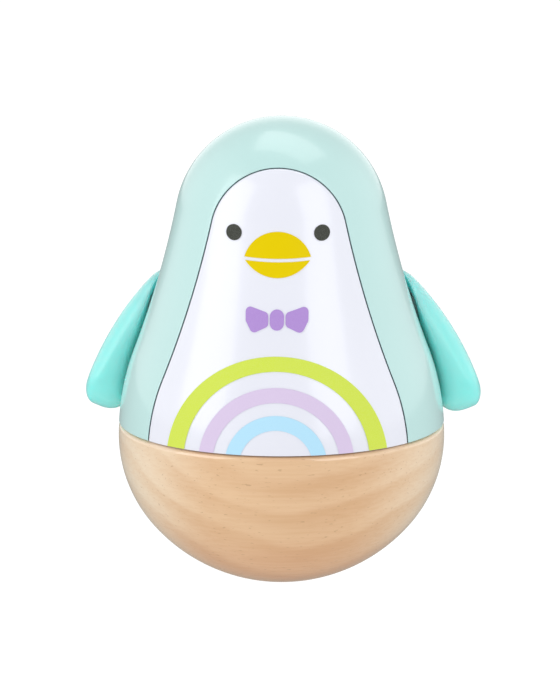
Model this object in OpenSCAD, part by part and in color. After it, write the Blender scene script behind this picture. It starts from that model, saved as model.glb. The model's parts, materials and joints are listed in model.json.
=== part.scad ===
// Roly poly toy in the shape of a penguin. A weighted bowl of turned wood carries a plastic body made of
// a back shell and a front panel. The wings swing on pegs, and a clapper swings among tone rods inside.
// Millimetres, +Z up, the face looks along -Y, the origin is on the floor under the middle of the toy.

/* [Wooden base] */
// Widest diameter of the toy
body_d = 86; // [78:1:94]
// Diameter of the flat that the toy rests on
foot_d = 14; // [8:1:20]
// How much larger the underside's radius is than the widest radius
underside_extra_r = 2.25; // [1:0.05:5]
// How far the centre of the side's curve lies from the axis
side_offset = 7.3; // [5:0.1:10]
// Height of the seam above the widest ring
seam_rise = 3.45; // [2.5:0.05:6]
// Rounding of the wood's top edge
rim_round = 1.2; // [0.5:0.1:2]

/* [Counterweight] */
// Diameter of the counterweight
weight_d = 45; // [40:1:48]
// Height of the counterweight
weight_h = 18; // [12:1:20]
// Wood left under the counterweight at the axis
weight_floor = 11; // [10:0.5:14]
// Radius of the ring that its screws stand on
weight_screw_ring_r = 14; // [10:0.5:16]

/* [Body] */
// Radius of the belly's curve
belly_r = 63.7; // [56:0.1:72]
// Radius of the hollow curve between belly and head
neck_r = 247.5; // [180:0.5:320]
// Radius of the head
head_r = 27.9; // [26:0.1:30]
// Height of the head's centre above the widest ring
head_rise = 56.4; // [52:0.1:62]
// Wall of the shell and the panel
wall = 2.4; // [1.8:0.1:2.8]
// Gap between the wood and the body
seam_gap = 0.35; // [0.2:0.05:0.6]

/* [Front panel] */
// Mint border left round the panel, seen from the front
panel_border = 10.4; // [8:0.1:12]
// How much narrower the border is at the belly
panel_flare = 0.8; // [0:0.1:1.5]
// Gap between the panel and the shell
panel_gap = 0.25; // [0.2:0.05:0.5]
// Width of the ledge behind the panel's edge
ledge_w = 2.2; // [1.5:0.1:3]
// Thickness of the ledge
ledge_t = 1.6; // [1.2:0.1:2]
// Width of a snap hook
hook_w = 5; // [3:0.5:7]
// Thickness of a snap hook
hook_t = 1.4; // [1:0.1:1.8]

/* [Chassis] */
// Thickness of the chassis plate
chassis_t = 3; // [2.5:0.1:4]
// Height of the ring that centres the chassis in the wood
spigot_h = 4; // [2:0.5:6]
// Radius of the ring of wood screws
chassis_screw_ring_r = 31; // [29:0.5:32]
// Diameter of the posts that take the shell's screws
shell_post_d = 8; // [6.5:0.5:9]
// Height of the posts that take the shell's screws
shell_post_h = 12; // [11:0.5:16]

/* [Wings] */
// Height of the wing's pivot above the seam
wing_pivot_rise = 30.2; // [28.5:0.1:33]
// Angle by which the wings sit behind the sides
wing_back_angle = 18; // [12:1:22]
// Largest swing of a wing each way
wing_swing = 40; // [20:1:45]
// Reach of the wing above its pivot
wing_up = 9; // [7:0.5:10]
// Reach of the wing below its pivot
wing_down = 33.5; // [30:0.5:35]
// Width of the wing near its lower end
wing_w = 19; // [16:0.5:22]
// Width of the wing near its shoulder
wing_shoulder_w = 14; // [12:0.5:16]
// Height of the wing's outer face above the shell, at its crest
wing_crest = 11.2; // [9:0.1:12]
// Distance of the crest below the pivot
wing_crest_down = 28.5; // [25:0.1:31]
// Radius of the outer face along the wing
wing_face_r = 78; // [70:0.5:95]
// Diameter of the wing's peg
wing_peg_d = 6; // [5:0.1:7]
// Length of the boss that carries the peg, from the shell's outside
wing_boss_l = 8; // [6:0.5:9]

/* [Chime] */
// Diameter of a tone rod
rod_d = 3; // [2:0.1:4]
// How much each tone rod is shorter than the one before
rod_step = 2; // [1:0.1:2.5]
// Diameter of the clapper's bob
bob_d = 12; // [10:0.5:13]
// Distance from the clapper's pin to the middle of the bob
clapper_l = 21; // [18:0.5:22]
// Largest swing of the hanger each way
hanger_swing = 11; // [5:0.5:12]
// Largest swing of the clapper each way
clapper_swing = 16; // [8:0.5:17]
// Diameter of the chime plate
chime_d = 54; // [52:0.5:58]
// Thickness of the chime plate
chime_t = 4; // [3:0.5:5]
// Height of the stands under the chime plate
stand_h = 5; // [4:0.5:6]
// Diameter of the bridge's legs
leg_d = 5; // [4:0.5:6]
// Height of the bridge's beam above the head's centre
beam_rise = 3; // [1:0.1:3.5]
// Thickness of the bridge's beam
beam_t = 4; // [3:0.5:4.5]
// Diameter of the chime's two hinge pins
pin_d = 2.4; // [1.6:0.1:2.8]

/* [Screws] */
// Shank diameter of the screws into plastic
screw_d = 2.6; // [2:0.1:2.8]
// Head diameter of the screws into plastic
screw_head_d = 5.2; // [4.4:0.1:5.6]
// Shank diameter of the wood screws
wood_screw_d = 3.5; // [3:0.1:4]
// Head diameter of the wood screws
wood_screw_head_d = 7; // [6:0.1:7.4]
// Depth of a screw's hold in plastic
plastic_bite = 8; // [6:0.5:8.5]
// Depth of the weight screws' hold in the wood
weight_bite = 6; // [4:0.5:7]
// Depth of the chassis screws' hold in the wood
chassis_bite = 12; // [8:0.5:16]

/* [Prints] */
// Diameter of an eye
eye_d = 4; // [3:0.1:5]
// Distance between the eyes' middles
eye_spread = 22.4; // [18:0.1:24]
// Height of the eyes above the head's centre
eye_rise = 1.8; // [0:0.1:4]
// Width of the beak
beak_w = 17.1; // [12:0.1:18]
// Height of the beak above its corners
beak_up = 6.7; // [5:0.1:8]
// Depth of the beak below its corners
beak_down = 4.7; // [3:0.1:6]
// Depth of the beak's corners below the head's centre
beak_drop = 4.4; // [3:0.1:7]
// Thickness of the line between the beak's halves
mouth_t = 0.85; // [0.5:0.05:1.5]
// How far the line between the halves sags
mouth_sag = 0.4; // [0.2:0.05:1]
// Width of the bow tie
bow_w = 15.9; // [12:0.1:18]
// Height of the bow tie
bow_h = 6.2; // [5.4:0.1:8]
// Width of the bow tie's knot
knot_w = 3.6; // [3:0.1:4.5]
// Height of the bow tie's knot
knot_h = 5.1; // [4.8:0.1:6]
// Depth of the bow tie's middle below the head's centre
bow_drop = 19.3; // [17:0.1:21]
// Outer radius of the outer rainbow band
rainbow_outer_r = 28.3; // [26:0.1:29]
// Outer radius of the middle rainbow band
rainbow_middle_r = 19.8; // [18:0.1:21]
// Outer radius of the inner rainbow band
rainbow_inner_r = 13; // [10:0.1:14]
// Width of a rainbow band
band_w = 3.6; // [3:0.1:5]
// Depth of the rainbow's middle below the seam
rainbow_drop = 2.5; // [0:0.1:6]
// How far below the rainbow's middle the outermost edge is centred, which widens the outer band's feet
rainbow_flare = 1; // [0:0.1:2]

/* [Hidden] */
ROD_COUNT = 8;
$fn = 96;
profile_fn = 256;

// Clearances and small sizes
overrun = 1;
fit_gap = 0.3;
hole_gap = 0.3;
thread_gap = 0.05;
pin_gap = 0.06;
hole_spare = 0.6;
embed = 0.4;
// Height by which the base's two curves share its outline
arc_lap = 0.1;
// Depth by which the neck's circle cuts into the belly's and the head's, so that their arcs cross
neck_lap = 0.02;

// Screws
screw_head_h = 1.8;
wood_screw_head_h = 2.2;
recess_length_share = 0.62;
recess_width_share = 0.16;
recess_depth_share = 0.6;
tip_share = 0.3;
weight_screw_count = 3;
chassis_screw_count = 4;
chassis_screw_angle = 45;

// Profile of the toy. Points are [distance from the axis, height].
widest_r = body_d / 2;
foot_r = foot_d / 2;
underside_r = widest_r + underside_extra_r;
side_r = widest_r - side_offset;
underside_c = [0, sqrt(pow(underside_r, 2) - pow(foot_r, 2))];
widest_z = underside_c.y - sqrt(pow(underside_r - side_r, 2) - pow(side_offset, 2));
side_c = [side_offset, widest_z];
seam_z = widest_z + seam_rise;
rim_c = [side_offset + sqrt(pow(side_r - rim_round, 2) - pow(seam_rise - rim_round, 2)),
         seam_z - rim_round];
underside_end = side_c + side_r * unit(side_c - underside_c);
rim_end = side_c + side_r * unit(rim_c - side_c);

belly_c = [widest_r - belly_r, widest_z];
head_c = [0, widest_z + head_rise];
belly_to_neck = belly_r + neck_r - neck_lap;
head_to_neck = head_r + neck_r - neck_lap;

function unit(v) = v / norm(v);
// Centres of the outline's curves, with the belly moved outwards by flare
function belly_at(flare) = belly_c + [flare, 0];
function neck_at(flare) =
    let (way = unit(head_c - belly_at(flare)), span = norm(head_c - belly_at(flare)),
         along = (pow(span, 2) + pow(belly_to_neck, 2) - pow(head_to_neck, 2)) / (2 * span),
         across = sqrt(pow(belly_to_neck, 2) - pow(along, 2)))
    belly_at(flare) + along * way + across * [way.y, -way.x];
neck_c = neck_at(0);
function belly_end(inset, flare = 0) =
    belly_at(flare) + (belly_r - inset) * unit(neck_at(flare) - belly_at(flare));
function head_end(inset, flare = 0) = head_c + (head_r - inset) * unit(neck_at(flare) - head_c);
// Radius of the body at a height, with its surface moved inwards by inset
function body_r(z, inset = 0, flare = 0) =
    z < belly_end(inset, flare).y ? belly_at(flare).x + sqrt(pow(belly_r - inset, 2) - pow(z - belly_c.y, 2))
    : z < head_end(inset, flare).y
    ? neck_at(flare).x - sqrt(pow(neck_r + inset, 2) - pow(z - neck_at(flare).y, 2))
    : sqrt(pow(head_r - inset, 2) - pow(z - head_c.y, 2));
// Outward direction of the body's surface at a height
function body_normal(z) =
    z < belly_end(0).y ? unit([body_r(z), z] - belly_c)
    : z < head_end(0).y ? unit(neck_c - [body_r(z), z])
    : unit([body_r(z), z] - head_c);

// Chassis and shell posts
chassis_top = seam_z + chassis_t;
chassis_r = body_r(chassis_top, wall) - fit_gap;
pocket_r = weight_d / 2 + fit_gap;
spigot_t = 2.5;
post_sink = 0.4;
post_ring_r = body_r(chassis_top, wall) - shell_post_d / 2 + post_sink;
post_angles = [90, 205, 335];

// Front panel
panel_seat_gap = 0.15;
ledge_grip = 3;
hook_gap = 0.3;
hook_bite = 1.2;
// Heights of the snap hooks above the seam, as shares of the head's rise
hook_rise_shares = [0.28, 0.64, 0.99];
ledge_in = wall + panel_seat_gap + ledge_t;
hook_in = ledge_in + hook_gap + hook_t;

// Wings, in a frame with x down the shell, y across and z straight out of the shell
wing_pivot_z = seam_z + wing_pivot_rise;
wing_pivot_r = body_r(wing_pivot_z);
wing_pivot = [wing_pivot_r, wing_pivot_z];
wing_out = body_normal(wing_pivot_z);
wing_along = [wing_out.y, -wing_out.x];
wing_tilt = atan2(wing_out.y, wing_out.x);
wing_belly_c = [(belly_c - wing_pivot) * wing_along, (belly_c - wing_pivot) * wing_out];
wing_neck_end = (belly_end(0) - wing_pivot) * wing_along;
wing_gap = 0.4;
wing_thin = 1.2;
wing_end_round = 6.5;
wing_top_round = 2.5;
// Powers of the curves that round the wing's section, on its underside and on its face
wing_powers = [4, 2.3];
// Shares of the thickness at which the wing's ridges lie, at the pivot and at the lower end
wing_ridge_shares = [0.05, 0.75];
wing_rings = 26;
wing_sides = 36;
collar_d = 10;
collar_gap = 0.15;
collar_in = 1.5;
wing_boss_d = 15;
washer_d = 10;
washer_t = 1.4;
washer_gap = 0.15;
tab_w = 2.6;
tab_r = 7;
stop_gap = 0.4;
stop_h = 1.6;
stop_margin = 1;

// Chime
chime_z = chassis_top + stand_h;
chime_top = chime_z + chime_t;
stand_d = 8;
stand_edge = 5;
stand_gap = 0.5;
// The stands lie inside the chime plate's edge and inside the heads of the wood screws
stand_screw_reach = (wood_screw_head_d + stand_d) / 2 + stand_gap;
stand_ring_r = min(chime_d / 2 - stand_edge, chassis_screw_ring_r - stand_screw_reach);
stand_count = 4;
stand_angle = 45;
socket_h = 3;
socket_wall = 1.5;
socket_floor = 1;
rod_fit = 0.03;
rod_foot_z = chime_z + socket_floor;
beam_z = head_c.y + beam_rise;
beam_gap = 2.3;
rod_longest = beam_z - beam_gap - rod_foot_z;
strike_gap = 0.4;
beam_end_extra = 0.8;
beam_wall_gap = 1;
beam_end_r = leg_d / 2 + beam_end_extra;
leg_y = body_r(beam_z + beam_t, wall) - beam_wall_gap - beam_end_r;
lug_t = 3;
lug_r = 3;
lug_drop = 5;
eye_t = 3;
eye_r = 2.8;
slot_gap = 0.3;
slot_end_gap = 0.5;
hanger_r = 3.4;
hanger_cheek = 2.8;
hanger_web = 2.5;
pin_end = 0.5;
stem_d = 2.8;
stem_hold_share = 0.4;
hanger_pin_z = beam_z - lug_drop;
web_top = hanger_pin_z - lug_r - slot_end_gap;
web_bottom = web_top - hanger_web;
clapper_pin_z = web_bottom - slot_end_gap - eye_r;
bob_z = clapper_pin_z - clapper_l;
bob_reach = max((hanger_pin_z - bob_z) * sin(hanger_swing), clapper_l * sin(clapper_swing));
rod_angle = 360 / ROD_COUNT;
rod_ring_r = (bob_reach + bob_d / 2 + rod_d / 2 + strike_gap) / cos(rod_angle / 2);
hanger_half_y = lug_t / 2 + slot_gap + hanger_cheek;
hanger_half_x = eye_t / 2 + slot_gap + hanger_cheek;

// Prints
ink_t = 0.12;
ink_lift = 0.03;
print_margin = 0.15;
bow_gap = 0.4;
bow_inner_h = 4;
bow_round = 1.2;
bow_lean_share = 0.85;

mint = "#c9e9e6";
white = "#eef1f8";
turquoise = "#7fe3d8";
wood = "#dfba8c";
steel = "#b9bec4";
iron = "#6c6f73";
moulded = "#d9dadc";

// Half outline of the wooden base
module base_half() {
    intersection() {
        union() {
            intersection() {
                translate(underside_c) circle(underside_r, $fn = profile_fn);
                square([widest_r, underside_end.y + arc_lap]);
            }
            translate([0, underside_end.y]) square([side_c.x + arc_lap, seam_z - underside_end.y]);
            intersection() {
                translate(side_c) circle(side_r, $fn = profile_fn);
                translate([0, underside_end.y]) square([widest_r + overrun, seam_z - underside_end.y]);
            }
        }
        union() {
            square([widest_r + overrun, rim_end.y]);
            square([rim_c.x, seam_z]);
            translate(rim_c) circle(rim_round);
        }
    }
}

// Half outline of the body from a height upwards, with its surface moved inwards by inset
module body_half(inset, from_z, flare = 0) {
    low_z = belly_end(inset, flare).y;
    high_z = head_end(inset, flare).y;
    intersection() {
        translate([0, from_z]) square([body_d, body_d + head_rise]);
        union() {
            translate(belly_at(flare)) circle(belly_r - inset, $fn = profile_fn);
            difference() {
                translate([0, low_z]) square([widest_r, high_z - low_z]);
                translate(neck_at(flare)) circle(neck_r + inset, $fn = profile_fn);
            }
            translate(head_c) circle(head_r - inset, $fn = profile_fn);
        }
    }
}

module body_solid(inset, from_z) {
    rotate_extrude() body_half(inset, from_z);
}

// Layer of the body between two depths under its surface
module body_layer(outer, inner, from_z) {
    difference() {
        body_solid(outer, from_z);
        body_solid(inner, from_z - overrun);
    }
}

// Prism towards the front, from an outline drawn in X and Z
module to_front() {
    rotate([90, 0, 0]) linear_extrude(widest_r + overrun) children();
}

// Prism of the body's outline moved inwards by border, and by less at the belly
module panel_prism(border) {
    to_front() union() {
        body_half(border, seam_z - overrun, panel_flare);
        mirror([1, 0]) body_half(border, seam_z - overrun, panel_flare);
    }
}

// Screw along Z with its head's underside at the origin and its shank downwards
module screw(d, head_d, head_h, length) {
    difference() {
        union() {
            cylinder(d = head_d, h = head_h);
            translate([0, 0, d - length]) cylinder(d = d, h = length - d + head_h / 2);
            translate([0, 0, -length]) cylinder(d1 = d * tip_share, d2 = d, h = d);
        }
        for (turn = [0, 90]) rotate(turn)
            translate([-head_d * recess_length_share / 2, -head_d * recess_width_share / 2,
                       head_h * (1 - recess_depth_share)])
                cube([head_d * recess_length_share, head_d * recess_width_share, head_h]);
    }
}

module ring_of(count, ring_r, start = 0) {
    for (i = [0 : count - 1]) rotate(start + i * 360 / count) translate([ring_r, 0, 0]) children();
}

module at_posts() {
    for (angle = post_angles) rotate(angle) translate([post_ring_r, 0, 0]) children();
}

module at_legs() {
    for (side = [-1, 1]) translate([0, side * leg_y, 0]) children();
}

// Wing frame on the right side of the toy
module on_wing() {
    rotate(wing_back_angle) translate([wing_pivot_r, 0, wing_pivot_z])
        rotate([0, 90 - wing_tilt, 0]) children();
}

module both_sides() {
    children();
    mirror([1, 0, 0]) children();
}

module wooden_base() {
    color(wood) difference() {
        rotate_extrude() base_half();
        translate([0, 0, weight_floor]) cylinder(r = pocket_r, h = seam_z);
        ring_of(weight_screw_count, weight_screw_ring_r)
            translate([0, 0, weight_floor - weight_bite - hole_spare])
                cylinder(d = wood_screw_d + 2 * thread_gap, h = weight_bite + hole_spare + overrun);
        ring_of(chassis_screw_count, chassis_screw_ring_r, chassis_screw_angle)
            translate([0, 0, seam_z - chassis_bite - hole_spare])
                cylinder(d = wood_screw_d + 2 * thread_gap, h = chassis_bite + hole_spare + overrun);
        at_posts() translate([0, 0, seam_z - screw_head_h - hole_spare])
            cylinder(d = screw_head_d + 2 * hole_spare, h = screw_head_h + hole_spare + overrun);
    }
}

module counterweight() {
    color(iron) translate([0, 0, weight_floor]) difference() {
        cylinder(d = weight_d, h = weight_h);
        ring_of(weight_screw_count, weight_screw_ring_r) translate([0, 0, -overrun])
            cylinder(d = wood_screw_d + 2 * hole_gap, h = weight_h + 2 * overrun);
    }
}

module weight_screws() {
    color(steel) ring_of(weight_screw_count, weight_screw_ring_r) translate([0, 0, weight_floor + weight_h])
        screw(wood_screw_d, wood_screw_head_d, wood_screw_head_h, weight_h + weight_bite);
}

module chassis_plate() {
    color(moulded) difference() {
        union() {
            translate([0, 0, seam_z]) cylinder(r = chassis_r, h = chassis_t);
            translate([0, 0, seam_z - spigot_h]) cylinder(r = pocket_r - fit_gap, h = spigot_h + embed);
            ring_of(stand_count, stand_ring_r, stand_angle) translate([0, 0, seam_z + embed])
                cylinder(d = stand_d, h = chassis_t - embed + stand_h);
        }
        translate([0, 0, seam_z - spigot_h - overrun])
            cylinder(r = pocket_r - fit_gap - spigot_t, h = spigot_h + overrun);
        ring_of(chassis_screw_count, chassis_screw_ring_r, chassis_screw_angle)
            translate([0, 0, seam_z - overrun])
                cylinder(d = wood_screw_d + 2 * hole_gap, h = chassis_t + 2 * overrun);
        at_posts() translate([0, 0, seam_z - overrun])
            cylinder(d = screw_d + 2 * hole_gap, h = chassis_t + 2 * overrun);
        ring_of(stand_count, stand_ring_r, stand_angle) translate([0, 0, chassis_top - hole_spare])
            cylinder(d = screw_d + 2 * thread_gap, h = stand_h + hole_spare + overrun);
    }
}

module chassis_screws() {
    color(steel) ring_of(chassis_screw_count, chassis_screw_ring_r, chassis_screw_angle)
        translate([0, 0, chassis_top])
            screw(wood_screw_d, wood_screw_head_d, wood_screw_head_h, chassis_t + chassis_bite);
}

// Lip of the shell behind the panel's edge
module panel_ledge() {
    intersection() {
        body_layer(wall - embed, ledge_in, chassis_top + fit_gap);
        difference() {
            panel_prism(panel_border - ledge_grip);
            panel_prism(panel_border + ledge_w);
        }
    }
}

// Room that the panel takes in the shell
module panel_room() {
    difference() {
        panel_prism(panel_border - panel_gap / 2);
        body_solid(wall + panel_seat_gap, seam_z - overrun);
    }
}

module wing_boss() {
    translate([0, 0, -wing_boss_l]) cylinder(d = wing_boss_d, h = wing_boss_l - wall / 2);
    gap_angle = wing_swing + asin(tab_w / washer_d) + stop_margin;
    rotate(180 + gap_angle) rotate_extrude(angle = 360 - 2 * gap_angle)
        translate([washer_d / 2 + stop_gap, -wing_boss_l - stop_h])
            square([(wing_boss_d - washer_d) / 2 - 2 * stop_gap, stop_h + embed]);
}

module back_shell() {
    color(mint) difference() {
        union() {
            body_layer(0, wall, seam_z + seam_gap);
            panel_ledge();
            intersection() {
                at_posts() translate([0, 0, chassis_top]) cylinder(d = shell_post_d, h = shell_post_h);
                body_solid(wall / 2, seam_z);
            }
            both_sides() on_wing() wing_boss();
        }
        panel_room();
        at_posts() translate([0, 0, chassis_top - overrun])
            cylinder(d = screw_d + 2 * thread_gap, h = plastic_bite + hole_spare + overrun);
        both_sides() on_wing() translate([0, 0, -wing_boss_l - stop_h - overrun])
            cylinder(d = wing_peg_d + 2 * pin_gap, h = wing_boss_l + stop_h + 2 * overrun);
    }
}

// Columns that cut the snap hooks out of the body's inner layers, beside the ledge's inner edge
module hook_columns(width) {
    both_sides() for (share = hook_rise_shares) {
        foot_z = seam_z + share * head_rise;
        arm_x = body_r(foot_z + hook_w, panel_border + ledge_w, panel_flare) - hook_gap - hook_t;
        translate([arm_x, -widest_r, foot_z]) cube([width, widest_r, hook_w]);
    }
}

// Snap hooks of the panel: arms beside the ledge, with barbs behind it
module panel_hooks() {
    intersection() {
        body_layer(wall - embed, hook_in, seam_z);
        hook_columns(hook_t);
    }
    intersection() {
        body_layer(ledge_in + hook_gap, hook_in, seam_z);
        hook_columns(hook_t + hook_gap + hook_bite);
    }
}

module front_panel() {
    color(white) {
        intersection() {
            body_layer(0, wall, seam_z + seam_gap);
            panel_prism(panel_border + panel_gap / 2);
        }
        panel_hooks();
    }
}

module shell_screws() {
    color(steel) at_posts() translate([0, 0, seam_z]) mirror([0, 0, 1])
        screw(screw_d, screw_head_d, screw_head_h, chassis_t + plastic_bite);
}

// Wing outline: a small circle at the shoulder and a large one at the tip, joined by their tangents
shoulder_x = wing_shoulder_w / 2 - wing_up;
tip_x = wing_down - wing_w / 2;
taper = asin((wing_w - wing_shoulder_w) / 2 / (tip_x - shoulder_x));
function wing_half_w(x) =
    x < shoulder_x - wing_shoulder_w / 2 * sin(taper)
    ? sqrt(pow(wing_shoulder_w / 2, 2) - pow(x - shoulder_x, 2))
    : x > tip_x - wing_w / 2 * sin(taper)
    ? sqrt(pow(wing_w / 2, 2) - pow(x - tip_x, 2))
    : wing_shoulder_w / 2 / cos(taper) + (x - shoulder_x) * tan(taper);
// Underside: the shell's outline below the pivot, turned about the peg so that the wing swings clear
function shell_rise(x) =
    x < wing_neck_end ? neck_r - sqrt(pow(neck_r, 2) - pow(x, 2))
    : wing_belly_c.y + sqrt(pow(belly_r, 2) - pow(x - wing_belly_c.x, 2));
function wing_low(x, y) = shell_rise(norm([x, y])) + wing_gap;
function wing_high(x, y) =
    max(wing_crest - wing_face_r + sqrt(pow(wing_face_r, 2) - pow(x - wing_crest_down, 2)),
        wing_low(x, y) + wing_thin);
function wing_ridge(x) =
    wing_ridge_shares[0] + (wing_ridge_shares[1] - wing_ridge_shares[0]) * max(x, 0) / wing_down;
function wing_mid(x, y) = wing_low(x, y) + wing_ridge(x) * (wing_high(x, y) - wing_low(x, y));
function round_end(gap, length) = gap > length ? 1 : sqrt(1 - pow(1 - gap / length, 2));
function wing_closing(x) = round_end(wing_down - x, wing_end_round) * round_end(x + wing_up, wing_top_round);
function signed_power(v, p) = sign(v) * pow(abs(v), p);
function wing_x(i) = (wing_down - wing_up) / 2 - (wing_down + wing_up) / 2 * cos(180 * i / wing_rings);
function wing_point(x, y, lift) =
    let (mid = wing_mid(x, y), reach = lift > 0 ? wing_high(x, y) - mid : mid - wing_low(x, y))
    [x, y, mid + lift * reach];
function wing_ring(x) =
    [for (j = [0 : wing_sides - 1])
        let (a = 360 * j / wing_sides, p = 2 / wing_powers[a < 180 ? 1 : 0])
        wing_point(x, wing_half_w(x) * signed_power(cos(a), p), wing_closing(x) * signed_power(sin(a), p))];

module wing_blade() {
    points = concat(
        [[-wing_up, 0, wing_mid(-wing_up, 0)]],
        [for (i = [1 : wing_rings - 1]) each wing_ring(wing_x(i))],
        [[wing_down, 0, wing_mid(wing_down, 0)]]);
    last = len(points) - 1;
    faces = concat(
        [for (j = [0 : wing_sides - 1]) [0, 1 + j, 1 + (j + 1) % wing_sides]],
        [for (i = [0 : wing_rings - 3]) for (j = [0 : wing_sides - 1])
            let (a = 1 + i * wing_sides + j, b = 1 + i * wing_sides + (j + 1) % wing_sides)
            each [[a, a + wing_sides, b], [b, a + wing_sides, b + wing_sides]]],
        [for (j = [0 : wing_sides - 1])
            let (first = 1 + (wing_rings - 2) * wing_sides)
            [last, first + (j + 1) % wing_sides, first + j]]);
    polyhedron(points, faces);
}

module wing() {
    color(turquoise) on_wing() difference() {
        union() {
            wing_blade();
            translate([0, 0, collar_gap]) cylinder(d = collar_d, h = collar_in - collar_gap);
            translate([0, 0, -wing_boss_l - washer_gap])
                cylinder(d = wing_peg_d, h = wing_boss_l + washer_gap + collar_in);
        }
        translate([0, 0, -wing_boss_l - washer_gap - overrun])
            cylinder(d = screw_d + 2 * thread_gap, h = plastic_bite + hole_spare + overrun);
    }
}

module wing_washer() {
    color(moulded) on_wing() translate([0, 0, -wing_boss_l - washer_gap - washer_t]) difference() {
        union() {
            cylinder(d = washer_d, h = washer_t);
            translate([-tab_r, -tab_w / 2, 0]) cube([tab_r, tab_w, washer_t]);
        }
        translate([0, 0, -overrun]) cylinder(d = screw_d + 2 * hole_gap, h = washer_t + 2 * overrun);
    }
}

module wing_screw() {
    color(steel) on_wing() translate([0, 0, -wing_boss_l - washer_gap - washer_t]) mirror([0, 0, 1])
        screw(screw_d, screw_head_d, screw_head_h, washer_t + plastic_bite);
}

module on_left() {
    mirror([1, 0, 0]) children();
}

module at_rods() {
    ring_of(ROD_COUNT, rod_ring_r, rod_angle / 2) children();
}

module chime_plate() {
    color(moulded) difference() {
        union() {
            translate([0, 0, chime_z]) cylinder(d = chime_d, h = chime_t);
            at_rods() translate([0, 0, chime_z + embed])
                cylinder(d = rod_d + 2 * socket_wall, h = chime_t - embed + socket_h);
        }
        at_rods() translate([0, 0, rod_foot_z]) cylinder(d = rod_d + 2 * rod_fit, h = chime_t + socket_h);
        ring_of(stand_count, stand_ring_r, stand_angle) translate([0, 0, chime_z - overrun])
            cylinder(d = screw_d + 2 * hole_gap, h = chime_t + 2 * overrun);
        at_legs() translate([0, 0, chime_z - overrun])
            cylinder(d = screw_d + 2 * hole_gap, h = chime_t + 2 * overrun);
    }
}

module chime_screws() {
    color(steel) ring_of(stand_count, stand_ring_r, stand_angle) translate([0, 0, chime_top])
        screw(screw_d, screw_head_d, screw_head_h, chime_t + stand_h);
}

module tone_rod(i) {
    color(steel) rotate(rod_angle * (i - 1 / 2)) translate([rod_ring_r, 0, rod_foot_z])
        cylinder(d = rod_d, h = rod_longest - rod_step * (i - 1));
}

module chime_bridge() {
    color(moulded) difference() {
        union() {
            at_legs() translate([0, 0, chime_top]) cylinder(d = leg_d, h = beam_z - chime_top + embed);
            translate([0, 0, beam_z]) linear_extrude(beam_t) union() {
                at_legs() circle(beam_end_r);
                translate([-beam_end_r, -leg_y]) square([2 * beam_end_r, 2 * leg_y]);
            }
            translate([-lug_r, -lug_t / 2, hanger_pin_z]) cube([2 * lug_r, lug_t, lug_drop + embed]);
            translate([0, lug_t / 2, hanger_pin_z]) rotate([90, 0, 0]) cylinder(r = lug_r, h = lug_t);
        }
        translate([0, lug_t, hanger_pin_z]) rotate([90, 0, 0])
            cylinder(d = pin_d + 2 * thread_gap, h = 2 * lug_t);
        at_legs() translate([0, 0, chime_top - overrun])
            cylinder(d = screw_d + 2 * thread_gap, h = plastic_bite + hole_spare + overrun);
    }
}

module bridge_screws() {
    color(steel) at_legs() translate([0, 0, chime_z]) mirror([0, 0, 1])
        screw(screw_d, screw_head_d, screw_head_h, chime_t + plastic_bite);
}

module hanger_pin() {
    color(steel) translate([0, hanger_half_y + pin_end, hanger_pin_z]) rotate([90, 0, 0])
        cylinder(d = pin_d, h = 2 * (hanger_half_y + pin_end));
}

module swing_hanger() {
    color(iron) difference() {
        union() {
            translate([0, hanger_half_y, hanger_pin_z]) rotate([90, 0, 0])
                cylinder(r = hanger_r, h = 2 * hanger_half_y);
            translate([-hanger_r, -hanger_half_y, web_bottom])
                cube([2 * hanger_r, 2 * hanger_half_y, hanger_pin_z - web_bottom]);
            translate([-hanger_half_x, 0, clapper_pin_z]) rotate([0, 90, 0])
                cylinder(r = hanger_r, h = 2 * hanger_half_x);
            translate([-hanger_half_x, -hanger_r, clapper_pin_z])
                cube([2 * hanger_half_x, 2 * hanger_r, web_top - clapper_pin_z]);
        }
        translate([-body_d / 2, -lug_t / 2 - slot_gap, web_top])
            cube([body_d, lug_t + 2 * slot_gap, beam_z - web_top]);
        translate([-eye_t / 2 - slot_gap, -body_d / 2, bob_z])
            cube([eye_t + 2 * slot_gap, body_d, web_bottom - bob_z]);
        translate([0, body_d / 2, hanger_pin_z]) rotate([90, 0, 0])
            cylinder(d = pin_d + 2 * pin_gap, h = body_d);
        translate([-body_d / 2, 0, clapper_pin_z]) rotate([0, 90, 0])
            cylinder(d = pin_d + 2 * thread_gap, h = body_d);
    }
}

module clapper_pin() {
    color(steel) translate([-hanger_half_x - pin_end, 0, clapper_pin_z]) rotate([0, 90, 0])
        cylinder(d = pin_d, h = 2 * (hanger_half_x + pin_end));
}

module clapper_stem() {
    stem_foot = bob_z - bob_d / 2 * stem_hold_share;
    color(steel) difference() {
        union() {
            translate([-eye_t / 2, 0, clapper_pin_z]) rotate([0, 90, 0]) cylinder(r = eye_r, h = eye_t);
            translate([0, 0, stem_foot]) cylinder(d = stem_d, h = clapper_pin_z - pin_d - stem_foot);
        }
        translate([-eye_t, 0, clapper_pin_z]) rotate([0, 90, 0])
            cylinder(d = pin_d + 2 * pin_gap, h = 2 * eye_t);
    }
}

module clapper_bob() {
    color(wood) translate([0, 0, bob_z]) difference() {
        sphere(d = bob_d);
        translate([0, 0, -bob_d / 2 * stem_hold_share]) cylinder(d = stem_d + 2 * rod_fit, h = bob_d);
    }
}

// Ink film on the panel, from an outline drawn in X and Z
module ink() {
    intersection() {
        body_layer(-ink_lift - ink_t, -ink_lift, seam_z + seam_gap + print_margin);
        to_front() children();
    }
}

module print_eyes() {
    color("#4b4e48") ink() for (side = [-1, 1])
        translate([side * eye_spread / 2, head_c.y + eye_rise]) circle(d = eye_d);
}

function arc_r(half_w, rise) = (pow(half_w, 2) + pow(rise, 2)) / (2 * rise);

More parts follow.
